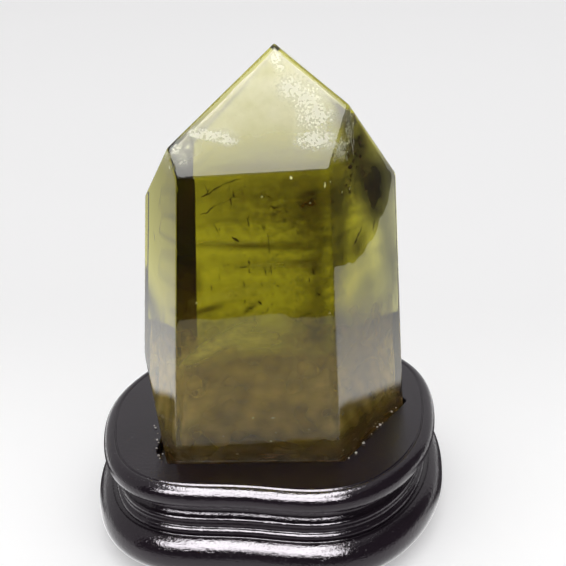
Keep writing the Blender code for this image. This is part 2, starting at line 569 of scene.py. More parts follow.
def piece(
    name: str,
    points: Array,
    quads: Array,
    finish: Finish,
    attributes: Union[dict[str, Array], None] = None,
    uv: Union[Array, None] = None,
    merge: float = 0.0,
) -> bpy.types.Object:
    """Put a smooth surface into a mesh object at the origin.

    Args:
        name: The piece's name.
        points: Vertices, (n, 3).
        quads: Faces as vertex numbers, (m, 4).
        finish: What it is made of.
        attributes: Values per vertex, by name.
        uv: Coordinates per face corner for the map named "lay", (m * 4, 2).
        merge: Points nearer than this become one, and the collapsed faces go.

    Returns:
        The linked object.
    """
    mesh = bpy.data.meshes.new(name)
    mesh.from_pydata(points.reshape(-1, 3).tolist(), [], quads.tolist())
    if uv is not None:
        mesh.uv_layers.new(name="lay").data.foreach_set("uv", uv.astype(np.float32).ravel())
    for label, values in (attributes or {}).items():
        layer = mesh.attributes.new(label, "FLOAT", "POINT")
        layer.data.foreach_set("value", values.astype(np.float32).ravel())
    if merge > 0.0:
        bm = bmesh.new()
        bm.from_mesh(mesh)
        bmesh.ops.remove_doubles(bm, verts=bm.verts[:], dist=merge)
        bmesh.ops.recalc_face_normals(bm, faces=bm.faces[:])
        bm.to_mesh(mesh)
        bm.free()
    mesh.polygons.foreach_set("use_smooth", np.ones(len(mesh.polygons), bool))
    mesh.materials.append(finish.material())
    mesh.update()
    item = bpy.data.objects.new(name, mesh)
    bpy.context.scene.collection.objects.link(item)
    return item


def report(item: bpy.types.Object) -> None:
    """Log a piece's name, faces and sides."""
    size = [round(side / MM, 1) for side in item.dimensions]
    LOG.info("%s: %d faces, %s mm", item.name, len(item.data.polygons), size)


# ---------------------------------------------------------------------------
# stand
# ---------------------------------------------------------------------------
@dataclass
class DisplayStand:
    """One piece of lacquered wood: a moulding carried round a hand-shaped rounded square."""

    height: float = 0.0305
    reach: tuple[float, ...] = (
        0.0506, 0.0552, 0.0549, 0.0520, 0.0510, 0.0540, 0.0572, 0.0554,
        0.0522, 0.0532, 0.0540, 0.0530, 0.0530, 0.0545, 0.0578, 0.0537,
    )
    groove_width: float = 0.0008
    groove_depth: float = 0.0004
    top_roll: float = 0.0034
    waist_top_drop: float = 0.0082
    waist_foot_drop: float = 0.0102
    waist_inset: float = 0.0053
    beads: tuple[tuple[float, float, float], ...] = ((0.0121, 0.0011, 0.0047), (0.0157, 0.0015, 0.0043))
    base_roll: float = 0.0067
    base_overhang: float = 0.0028
    base_drop: float = 0.0224
    foot_inset: float = 0.0060
    foot_height: float = 0.0012
    socket_depth: float = 0.0040
    socket_rim: float = 0.00035
    socket_corner: tuple[float, float] = (-91.0, 0.0322)
    socket_sharpness: float = 140.0
    columns: int = 420

    def plan(self, azimuth: Array) -> Array:
        """Top roll's outside, relative to the axis.

        reach(a) = sum of r_k sin(n t / 2) / (n tan(t / 2)) with t = a - a_k; the point is
        (reach sin a, -reach cos a).

        Args:
            azimuth: Angles from the front, in radians.

        Returns:
            Level points, last axis x, y.
        """
        count = len(self.reach)
        turn = azimuth[..., None] - 2.0 * np.pi * np.arange(count) / count
        turn = np.where(np.abs(np.sin(turn / 2)) < 1e-9, 1e-7, turn)
        reach = (np.array(self.reach) * np.sin(count * turn / 2) / (count * np.tan(turn / 2))).sum(-1)
        return np.stack([reach * np.sin(azimuth), -reach * np.cos(azimuth)], axis=-1)

    def plan_normal(self, azimuth: Array) -> Array:
        """Outward normal of the plan: its central difference turned a quarter turn.

        Args:
            azimuth: Angles from the front, in radians.

        Returns:
            Level unit vectors, last axis x, y.
        """
        step = 0.01
        along = self.plan(azimuth + step) - self.plan(azimuth - step)
        along /= np.linalg.norm(along, axis=-1, keepdims=True)
        return np.stack([along[..., 1], -along[..., 0]], axis=-1)

    def axis(self) -> Array:
        """Where the axis stands so that the middle of the stand's sides is the origin."""
        points = self.plan(np.arange(72) * 2.0 * np.pi / 72)
        return -(points.min(axis=0) + points.max(axis=0)) / 2.0

    def top_centre(self) -> Array:
        """Point where the axis leaves the stand's top."""
        return np.array([*self.axis(), self.height])

    @staticmethod
    def arc(
        offset: float, height: float, radius: float, start: float, end: float, steps: int,
    ) -> Array:
        """Arc of a moulding: (offset + r cos t, height + r sin t) for t from start to end degrees."""
        turn = np.radians(np.linspace(start, end, steps))
        return np.stack([offset + radius * np.cos(turn), height + radius * np.sin(turn)], axis=-1)

    def moulding(self) -> Array:
        """Profile from the foot up to the groove's inner edge: arcs joined by straight runs.

        Returns:
            Pairs of offset from the plan and height.
        """
        top, inner = self.height, -self.top_roll - self.groove_width
        runs = [np.array([(-self.foot_inset, 0.0), (-self.foot_inset, self.foot_height)])]
        centre = self.base_overhang - self.base_roll
        runs.append(self.arc(centre, top - self.base_drop, self.base_roll, -74, 70, 44))
        for drop, radius, inset in reversed(self.beads):
            runs.append(self.arc(-inset, top - drop, radius, -52, 74, 18))
        foot_of_waist, head_of_waist = top - self.waist_foot_drop, top - self.waist_top_drop
        hollow = np.linspace(0.0, 1.0, 6)
        dip = 0.0003 * np.sin(np.pi * hollow)
        climb = foot_of_waist + (head_of_waist - foot_of_waist) * hollow
        runs.append(np.stack([-self.waist_inset - dip, climb], -1))
        runs.append(self.arc(-self.top_roll, top - self.top_roll, self.top_roll, -66, 88, 34))
        groove = np.linspace(0.0, 1.0, 7)[1:]
        across = -self.top_roll + (inner + self.top_roll) * groove
        runs.append(np.stack([across, top - self.groove_depth * np.sin(np.pi * groove)], -1))
        return np.concatenate(runs)

    def socket(self, azimuth: Array, drop: float, walls: Array, shrink: float = 0.0) -> Array:
        """Socket's outline at a depth below the top, relative to the axis.

        r(a) = (sum of (cos(a - a_k) / D_k)^q)^(-1/q), a polygon with slightly eased corners.

        Args:
            azimuth: Angles from the front, in radians.
            drop: Depth below the top.
            walls: Azimuth, lean, distance and clearance of each wall, one row each.
            shrink: How much smaller than the socket, all round.

        Returns:
            Level points, last axis x, y.
        """
        turn = np.radians(walls[:, 0])
        reach = walls[:, 2] + walls[:, 3] + drop * np.tan(np.radians(walls[:, 1])) - shrink
        share = np.maximum(np.cos(azimuth[:, None] - turn), 1e-6) / reach
        radius = (share ** self.socket_sharpness).sum(-1) ** (-1.0 / self.socket_sharpness)
        return np.stack([radius * np.sin(azimuth), -radius * np.cos(azimuth)], axis=-1)

    def build(self, walls: Array) -> bpy.types.Object:
        """Carry the moulding round the plan, then run over the top into the socket.

        Args:
            walls: Azimuth, lean, distance and clearance of each socket wall, one row each.

        Returns:
            The stand.
        """
        azimuth = np.arange(self.columns) * 2.0 * np.pi / self.columns
        walls = np.vstack([walls, (self.socket_corner[0], 0.0, self.socket_corner[1], 0.0)])
        plan, normal = self.plan(azimuth), self.plan_normal(azimuth)
        profile = self.moulding()
        rows = [np.zeros_like(plan), (plan - normal * self.foot_inset) * 0.97]
        heights = [0.0, 0.0]
        rows += [plan + normal * offset for offset, _ in profile]
        heights += profile[:, 1].tolist()
        inner, rim = rows[-1], self.socket(azimuth, 0.0, walls, -self.socket_rim)
        for share in (0.006, 0.02, 0.1, 0.3, 0.6, 0.85, 0.97):
            rows.append(inner * (1.0 - share) + rim * share)
            heights.append(self.height)
        for turn in np.radians((90.0, 67.0, 45.0, 22.0, 0.0)):
            drop = self.socket_rim * (1.0 - np.sin(turn))
            rows.append(self.socket(azimuth, drop, walls, -self.socket_rim * (1.0 - np.cos(turn))))
            heights.append(self.height - drop)
        for share in (0.3, 0.7, 0.95, 1.0):
            rows.append(self.socket(azimuth, self.socket_depth * share, walls))
            heights.append(self.height - self.socket_depth * share)
        for share in (0.97, 0.5, 0.0):
            rows.append(rows[-1] * share)
            heights.append(self.height - self.socket_depth)
        level = np.stack(rows)
        upright = np.broadcast_to(np.array(heights)[:, None, None], (*level.shape[:2], 1))
        points = np.concatenate([level + self.axis(), upright], axis=-1)
        quads = grid_quads(len(rows), self.columns, True)
        uv = self.unroll(points, quads)
        item = piece("lacquered_stand", points, quads, BlackLacquer(), uv=uv, merge=2e-6)
        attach(item, BODY)
        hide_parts("display_stand")
        return item

    @staticmethod
    def unroll(points: Array, quads: Array) -> Array:
        """Lay of the brush: u runs round the widest row, v runs up the profile, both in metres.

        Args:
            points: Grid of points, (rows, columns, 3).
            quads: Its faces.

        Returns:
            Coordinates of each face corner, (n * 4, 2).
        """
        rows, columns = points.shape[:2]
        ring = np.concatenate([points, points[:, :1]], axis=1)
        around = np.linalg.norm(np.diff(ring, axis=1), axis=-1).sum(axis=1).max()
        climb = np.linalg.norm(np.diff(points, axis=0), axis=-1).mean(axis=1)
        height = np.concatenate([[0.0], np.cumsum(climb)])
        column = quads % columns
        at_seam = (column == 0) & (column.max(axis=1, keepdims=True) == columns - 1)
        wrapped = np.where(at_seam, columns, column)
        return np.stack([wrapped * around / columns, height[quads // columns]], axis=-1).reshape(-1, 2)


# ---------------------------------------------------------------------------
# crystal
# ---------------------------------------------------------------------------
@dataclass
class CrystalPoint:
    """The crystal: six prism faces, three tip faces, a broken corner, chipped arrises."""

    top: Array
    seat: float = 0.0040 - 0.0003
    prism: dict[str, tuple[float, float, float, float]] = field(default_factory=lambda: {
        "front": (2.79, 3.03, 0.03283, 0.0004),
        "right": (63.04, 2.76, 0.03416, 0.0010),
        "back_right": (122.77, 1.03, 0.03770, 0.0010),
        "back": (182.80, 2.00, 0.01700, 0.0010),
        "back_left": (-117.24, 2.93, 0.02888, 0.0015),
        "left": (-57.71, 4.24, 0.04018, 0.0026),
    })
    tip: dict[str, tuple[float, float, float]] = field(default_factory=lambda: {
        "tip_front": (1.01, 37.27, 0.12306),
        "tip_back_right": (119.61, 40.62, 0.11831),
        "tip_back_left": (-112.86, 37.60, 0.10967),
    })
    broken_corner: tuple[tuple[float, float, float], ...] = (
        (-0.03730, -0.01283, 0.02423), (-0.03006, -0.02813, -0.00344), (-0.03050, 0.00250, -0.00400),
    )
    chips: tuple[tuple[float, float, float, float], ...] = (
        (22.7, -21.0, 91.0, 1.6), (21.5, -23.5, 89.6, 1.2), (24.0, -18.5, 90.6, 0.9),
        (25.7, -14.3, 99.5, 1.0),
        (26.2, -13.8, 95.1, 0.8), (25.9, -14.6, 92.5, 0.8), (41.0, 7.2, 17.8, 1.0), (26.2, -23.9, 0.6, 1.3),
        (28.2, -19.8, 0.3, 0.9), (35.3, -5.9, 0.4, 1.2), (38.5, 0.4, 0.5, 1.0), (-22.4, -27.2, 88.4, 0.8),
        (-25.9, -33.6, 11.0, 0.7), (-3.2, -34.2, 0.2, 0.7), (9.5, -33.4, 0.3, 0.6), (4.1, -4.7, 117.0, 0.5),
    )
    blow: tuple[float, float, float] = (-0.0290, -0.0285, 0.001)
    nick_depth: float = 0.00035
    sharpness: float = 190.0
    spacing: float = 0.00054
    insets: tuple[float, ...] = (
        0.0, 0.002, 0.005, 0.009, 0.014, 0.02, 0.028, 0.036, 0.045, 0.055, 0.066, 0.078, 0.092,
        0.11, 0.135, 0.165, 0.2, 0.25, 0.31, 0.38, 0.46, 0.56, 0.68, 0.82, 1.0,
    )

    def level(self, azimuth: float) -> Array:
        """Level unit vector at an azimuth from the front, in degrees."""
        return np.array([np.sin(np.radians(azimuth)), -np.cos(np.radians(azimuth)), 0.0])

    def leaning(self, azimuth: float, rise: float) -> Array:
        """Unit vector at an azimuth from the front and a rise above the level, in degrees."""
        rise = np.radians(rise)
        return self.level(azimuth) * np.cos(rise) + (0, 0, np.sin(rise))

    def walls(self) -> Array:
        """Azimuth, lean, distance and socket clearance of the prism faces."""
        return np.array(list(self.prism.values()))

    def half_spaces(self) -> tuple[Array, Array]:
        """Planes of every flat: prism, tip, break, seat.

        Returns:
            Outward normals, and distances from the origin along them.
        """
        normals, points = [], []
        for azimuth, lean, distance, _ in self.prism.values():
            normals.append(self.leaning(azimuth, lean))
            points.append(self.top + self.level(azimuth) * distance)
        for azimuth, rise, height in self.tip.values():
            normals.append(self.leaning(azimuth, rise))
            points.append(self.top + (0, 0, height))
        a, b, c = self.top + np.array(self.broken_corner)
        outward = np.cross(b - a, c - a)
        normals.append(outward * np.sign(outward @ (a - self.top)) / np.linalg.norm(outward))
        points.append(a)
        normals.append(np.array([0.0, 0.0, -1.0]))
        points.append(self.top - (0, 0, self.seat))
        normals = np.array(normals)
        return normals, (normals * np.array(points)).sum(axis=1)

    def heart(self) -> Array:
        """A point well inside the crystal."""
        return self.top + (0.001, -0.003, 0.050)

    def corners(self) -> tuple[Array, Array]:
        """Corners of the solid: where three flats meet and no other flat is passed.

        Returns:
            The corners, and which flats each one lies on.
        """
        normals, offsets = self.half_spaces()
        triples = np.array(list(combinations(range(len(offsets)), 3)))
        systems = normals[triples]
        solvable = np.abs(np.linalg.det(systems)) > 1e-4
        triples = triples[solvable]
        found = np.linalg.solve(normals[triples], offsets[triples][..., None])[..., 0]
        inside = (found @ normals.T <= offsets + 1e-7).all(axis=1)
        found = found[inside]
        return found, np.abs(found @ normals.T - offsets) < 2e-7

    def rim(self, flat: int) -> Array:
        """Closed outline of one flat, with points crowded a little towards the corners.

        Args:
            flat: Number of the flat.

        Returns:
            Points in order round the flat.
        """
        normals, _ = self.half_spaces()
        corners, on_flat = self.corners()
        ring = corners[on_flat[:, flat]]
        side = np.cross(normals[flat], [0.3, 0.4, 0.86])
        side /= np.linalg.norm(side)
        around = ring - ring.mean(axis=0)
        order = np.argsort(np.arctan2(around @ np.cross(normals[flat], side), around @ side))
        ring = ring[order]
        runs = []
        for start, end in zip(ring, np.roll(ring, -1, axis=0)):
            steps = max(int(np.ceil(np.linalg.norm(end - start) / self.spacing)), 3)
            share = np.arange(steps) / steps
            share = 0.75 * share + 0.25 * (0.5 - 0.5 * np.cos(np.pi * share))
            runs.append(start + (end - start) * share[:, None])
        return np.concatenate(runs)

    def gauge(self, points: Array) -> Array:
        """Share of the way from the heart to each flat: n.(P - heart) / (d - n.heart)."""
        normals, offsets = self.half_spaces()
        return np.maximum((points - self.heart()) @ normals.T / (offsets - normals @ self.heart()), 0.0)

    def soften(self, points: Array) -> Array:
        """Ease the arrises: P' = heart + (P - heart) * (sum of share^q)^(-1/q)."""
        total = (self.gauge(points) ** self.sharpness).sum(axis=-1) ** (-1.0 / self.sharpness)
        return self.heart() + (points - self.heart()) * total[..., None]

    def nibble(self, points: Array) -> tuple[Array, Array]:
        """Wear the arrises with many tiny nicks, where lumps of noise meet the edge.

        Args:
            points: Points on the crystal.

        Returns:
            The points, and how broken each one is, 0 to 1.
        """
        second = np.sort(self.gauge(points), axis=-1)[..., -2]
        near = smooth(second, 0.984, 0.999)
        lumps = smooth(lattice(points, 0.0026, 5) * lattice(points, 0.0009, 8), 0.9, 2.2)
        bite = near * lumps
        inward = points - self.heart()
        inward /= np.linalg.norm(inward, axis=-1, keepdims=True)
        depth = bite * self.nick_depth
        return points - inward * depth[..., None], np.clip(bite * 2.0, 0.0, 1.0)

    def chip(self, points: Array, broken: Array) -> tuple[Array, Array]:
        """Bite out the larger chips: a point inside a ball slides inwards on to its far side.

        Args:
            points: Points on the crystal.
            broken: How broken each one is so far.

        Returns:
            The points, and how broken each one is, 0 to 1.
        """
        normals, _ = self.half_spaces()
        for x, y, z, radius in self.chips:
            centre = self.top + np.array([x, y, z]) * MM
            weight = smooth(self.gauge(centre), 0.95, 0.99)
            outward = (normals * weight[:, None]).sum(axis=0)
            outward /= np.linalg.norm(outward)
            centre = centre + outward * radius * MM * 0.25
            away = points - centre
            ragged = 1.0 + 0.20 * lattice(points, 0.0016, 11) + 0.09 * lattice(points, 0.0006, 12)
            reach = radius * MM * ragged
            along = away @ outward
            inside = reach ** 2 - (away ** 2).sum(axis=-1)
            slide = along + np.sqrt(np.maximum(along ** 2 + inside, 0.0))
            hit = (inside > 0.0) & (slide > 0.0)
            points = points - outward * np.where(hit, slide, 0.0)[..., None]
            broken = np.where(hit, 1.0, broken)
        return points, broken

    def conchoid(self, points: Array, inset: Array, outward: Array) -> tuple[Array, Array]:
        """Hollow the broken corner like a shell.

        depth = m * (0.8 mm + 0.16 mm sin(2 pi r / 2.3 mm) + lumps); m rises from the rim and r runs
        from the place of the blow.

        Args:
            points: Grid on the broken flat.
            inset: How far each point is from the rim to the middle, 0 to 1.
            outward: The flat's normal.

        Returns:
            The points, and how broken each one is, 0 to 1.
        """
        blow = self.top + self.blow
        away = np.linalg.norm(points - blow, axis=-1)
        middle = smooth(inset, 0.0, 0.5)
        ripple = np.sin(2.0 * np.pi * (away + 0.0004 * lattice(points, 0.006, 3)) / 0.0023)
        depth = middle * (0.0008 + 0.00016 * ripple + 0.0002 * lattice(points, 0.004, 4))
        return points - outward * depth[..., None], smooth(inset, 0.0, 0.05) * 0.35

    def build(self) -> bpy.types.Object:
        """Cover each flat with a grid from its rim to its middle, and shape all of them together.

        Returns:
            The crystal's skin.
        """
        normals, _ = self.half_spaces()
        inset = np.array(self.insets)
        flats, faces, marks, count = [], [], [], 0
        break_flat = len(normals) - 2
        for flat in range(len(normals)):
            rim = self.rim(flat)
            middle = rim.mean(axis=0)
            points = rim + (middle - rim) * inset[:, None, None]
            mark = np.zeros(points.shape[:2])
            if flat == break_flat:
                depth = np.broadcast_to(inset[:, None], mark.shape)
                points, mark = self.conchoid(points, depth, normals[flat])
            flats.append(points.reshape(-1, 3))
            marks.append(mark.ravel())
            faces.append(grid_quads(len(inset), len(rim), True) + count)
            count += points.shape[0] * points.shape[1]
        points, mark = np.concatenate(flats), np.concatenate(marks)
        points, worn = self.nibble(self.soften(points))
        points, worn = self.chip(points, np.maximum(worn, mark))
        quads = np.concatenate(faces)
        item = piece("clear_point", points, quads, ClearCitrine(), {"broken": worn}, merge=2e-6)
        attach(item, BODY)
        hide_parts("crystal_point")
        return item


# ---------------------------------------------------------------------------
# inside the crystal
# ---------------------------------------------------------------------------
@dataclass(frozen=True)
class Cloud:
    """A soft-edged cloudy place; lengths are in mm from where the axis leaves the stand's top."""

    east: float
    north: float
    rise: float
    width: float
    height: float
    strength: float
    slope: float = 0.0

    def cover(self, points: Array) -> Array:
        """How thick the cloud is: strength * exp(-(level distance / width)^2 - (climb / height)^2).

        Args:
            points: Points in mm; the climb is taken from a line that slopes to the east.

        Returns:
            Cover, one value per point.
        """
        away = points - np.array((self.east, self.north, self.rise))
        climb = away[..., 2] - self.slope * away[..., 0]
        level = (away[..., 0] ** 2 + away[..., 1] ** 2) / self.width ** 2
        return self.strength * np.exp(-level - (climb / self.height) ** 2)


@dataclass(frozen=True)
class Layer:
    """A veil at one depth under the flats: depth, swell and span upwards in mm, clouds as rows."""

    name: str
    depth: float
    span: tuple[float, float]
    seed: int
    swell: float
    finish: Veil
    rows: tuple[tuple[float, ...], ...]

    def fade(self, points: Array) -> Array:
        """Cover of all clouds together: 1 - product of (1 - cover), running out at both ends.

        Args:
            points: Points in mm.

        Returns:
            Fade, 0 to 1, one value per point.
        """
        gaps = [1.0 - np.clip(Cloud(*row).cover(points), 0.0, 0.98) for row in self.rows]
        low, high = self.span
        ends = smooth(points[..., 2], low, low + 1.0) * smooth(-points[..., 2], -high, 1.0 - high)
        return (1.0 - np.prod(gaps, axis=0)) * ends


LAYERS = (
    Layer(
        "ground_stain", 1.2, (-3.4, 11.0), 65, 0.2,
        Veil("ground_stain", (0.20, 0.125, 0.085), (0.12, 0.078, 0.050), (90.0, 90.0, 1100.0), 0.9),
        (
            (0.0, 0.0, -1.0, 90.0, 6.5, 0.8),
        ),
    ),
    Layer(
        "yellow_bands", 3.0, (22.0, 76.0), 66, 0.3,
        Veil("yellow_bands", (0.97, 0.92, 0.28), (0.95, 0.86, 0.30), (160.0, 160.0, 420.0), 0.9),
        (
            (-12.5, -25.0, 36.5, 9.0, 2.4, 1.20, 0.6), (-1.0, -25.0, 37.8, 9.0, 3.2, 0.62, 0.1),
            (-13.0, -23.0, 30.5, 5.0, 1.5, 0.55, 0.5), (-8.0, -22.0, 51.5, 9.0, 1.7, 0.45, 0.2),
            (6.0, -22.0, 59.8, 9.0, 0.8, 0.4), (-6.0, -22.0, 66.4, 9.0, 0.7, 0.35),
            (12.0, -21.0, 35.0, 8.0, 2.4, 0.4),
        ),
    ),
    Layer(
        "smoke_patch", 1.7, (-2.0, 108.0), 61, 0.25,
        Veil("smoke", (0.022, 0.012, 0.018), (0.050, 0.024, 0.012), (170.0, 170.0, 170.0), 0.2),
        (
            (29.8, -5.0, 76.0, 9.0, 8.5, 0.92), (32.0, -1.0, 75.0, 7.5, 9.0, 0.88),
            (27.8, -8.5, 80.0, 6.0, 6.5, 0.75), (30.5, -4.0, 71.0, 6.5, 6.0, 0.75),
            (26.8, -9.0, 92.0, 7.0, 7.0, 0.7), (23.5, -15.0, 97.5, 3.6, 6.0, 0.9),
            (27.0, -10.0, 86.5, 8.0, 7.0, 0.6), (31.0, -2.5, 66.0, 6.0, 5.0, 0.5),
            (22.0, -21.0, 75.0, 4.5, 14.0, 0.5), (21.4, -22.5, 61.0, 4.0, 6.0, 0.6),
            (26.0, -13.0, 60.5, 8.0, 6.0, 0.8), (28.0, -9.0, 46.0, 9.0, 8.0, 0.6),
            (34.0, 2.0, 57.0, 5.5, 16.0, 0.6), (26.8, -12.0, 36.0, 12.0, 17.0, 0.40),
            (32.0, -2.0, 34.0, 9.0, 18.0, 0.50), (24.0, -17.0, 16.0, 7.0, 12.0, 0.20),
        ),
    ),
    Layer(
        "brown_films", 8.0, (20.0, 96.0), 62, 0.6,
        Veil("brown_films", (0.120, 0.044, 0.010), (0.080, 0.028, 0.010), (90.0, 90.0, 420.0), 0.9),
        (
            (16.8, -20.1, 74.0, 7.0, 9.0, 0.88), (-5.6, -21.7, 64.2, 13.0, 1.1, 0.5),
            (8.0, -21.1, 63.9, 9.0, 1.3, 0.6), (18.0, -20.5, 63.7, 6.0, 1.8, 0.7),
            (2.6, -21.6, 58.1, 12.0, 1.8, 0.35), (16.6, -20.9, 58.0, 4.5, 3.0, 0.78),
            (18.0, -21.5, 48.8, 4.8, 8.5, 0.68), (17.0, -22.0, 38.0, 6.0, 6.0, 0.4),
            (-17.8, -22.8, 54.0, 1.2, 5.0, 0.5), (-15.5, -23.2, 45.3, 6.0, 1.2, 0.75, 0.33),
            (-3.4, -22.6, 45.7, 2.6, 0.9, 0.5, 0.6), (-14.1, -23.7, 34.0, 3.6, 1.6, 0.5, 0.3),
            (-17.9, -24.3, 26.2, 4.0, 2.5, 0.5), (4.0, -21.0, 79.0, 20.0, 8.0, 0.42),
            (0.0, 0.0, 64.5, 80.0, 1.0, 0.2), (0.0, 0.0, 52.0, 80.0, 2.2, 0.15),
            (0.0, 0.0, 72.5, 80.0, 1.6, 0.12),
        ),
    ),
    Layer(
        "rust_dust", 2.6, (24.0, 92.0), 68, 0.3,
        Veil("rust_dust", (0.130, 0.066, 0.014), (0.100, 0.044, 0.010), (420.0, 420.0, 520.0), 2.2),
        (
            (25.5, -11.5, 88.0, 6.5, 9.0, 0.6), (24.0, -16.0, 79.0, 4.0, 7.0, 0.45),
            (3.0, -24.0, 76.0, 20.0, 10.0, 0.26), (14.0, -23.0, 74.0, 9.0, 12.0, 0.34),
            (16.0, -24.0, 52.0, 8.0, 12.0, 0.34), (-2.0, -25.0, 55.0, 16.0, 16.0, 0.14),
            (-14.0, -25.0, 42.0, 8.0, 4.0, 0.34, 0.3), (17.0, -24.0, 40.0, 8.0, 6.0, 0.30),
            (24.0, -11.0, 92.0, 6.0, 9.0, 0.30),
        ),
    ),
    Layer(
        "edge_film", 0.8, (22.0, 96.0), 67, 0.1,
        Veil("edge_film", (0.035, 0.028, 0.038), (0.05, 0.04, 0.035), (200.0, 200.0, 90.0), 0.4),
        (
            (39.0, 4.0, 78.0, 8.0, 16.0, 0.97), (39.0, 4.0, 48.0, 7.0, 26.0, 0.85),
            (-33.0, -15.0, 42.0, 9.0, 6.5, 0.9, -1.2),
        ),
    ),
    Layer(
        "tip_haze", 1.3, (22.0, 117.0), 63, 0.2,
        Veil("tip_haze", (0.92, 0.90, 0.96), (0.93, 0.91, 0.91), (140.0, 140.0, 140.0), 0.5),
        (
            (5.0, -10.0, 104.0, 14.0, 9.0, 0.42), (4.0, -5.0, 110.0, 30.0, 9.0, 0.35),
            (-37.0, -5.0, 58.0, 3.5, 26.0, 0.35), (-8.0, -14.0, 99.0, 12.0, 7.0, 0.45),
            (12.0, -14.0, 99.0, 10.0, 7.0, 0.30), (5.0, -4.6, 112.0, 4.5, 6.0, 0.2),
            (-14.0, -15.5, 97.5, 5.0, 3.0, 0.40), (-20.0, -21.0, 90.5, 5.0, 5.0, 0.45),
            (0.0, -21.0, 90.0, 22.0, 3.0, 0.16), (10.0, -9.0, 108.0, 6.0, 6.0, 0.35),
        ),
    ),
    Layer(
        "white_feathers", 0.9, (80.0, 118.0), 64, 0.15,
        Veil("feathers", (0.97, 0.97, 0.98), (0.97, 0.97, 0.97), (1200.0, 1200.0, 1200.0), 3.4),
        (
            (9.0, -12.0, 106.0, 3.0, 2.8, 1.1), (13.5, -13.8, 103.0, 3.4, 3.4, 1.2),
            (17.0, -16.8, 99.0, 2.8, 3.2, 1.1), (13.0, -17.6, 98.0, 2.6, 2.0, 0.6),
            (15.8, -21.0, 93.6, 4.2, 2.0, 1.2), (22.3, -19.5, 90.5, 2.6, 2.0, 1.3),
            (-16.0, -20.2, 95.3, 2.8, 1.1, 1.0), (-11.0, -20.7, 94.7, 3.2, 1.3, 1.0),
            (-7.5, -21.3, 93.6, 2.2, 1.1, 0.9), (-22.0, -23.0, 91.5, 1.6, 1.6, 0.6),
            (-20.0, -25.2, 88.6, 1.2, 1.8, 0.35), (4.5, -6.8, 113.0, 1.3, 2.0, 1.1),
            (5.8, -8.4, 110.4, 1.2, 2.0, 1.0), (23.5, -15.5, 95.0, 1.2, 3.0, 0.8),
        ),
    ),
)


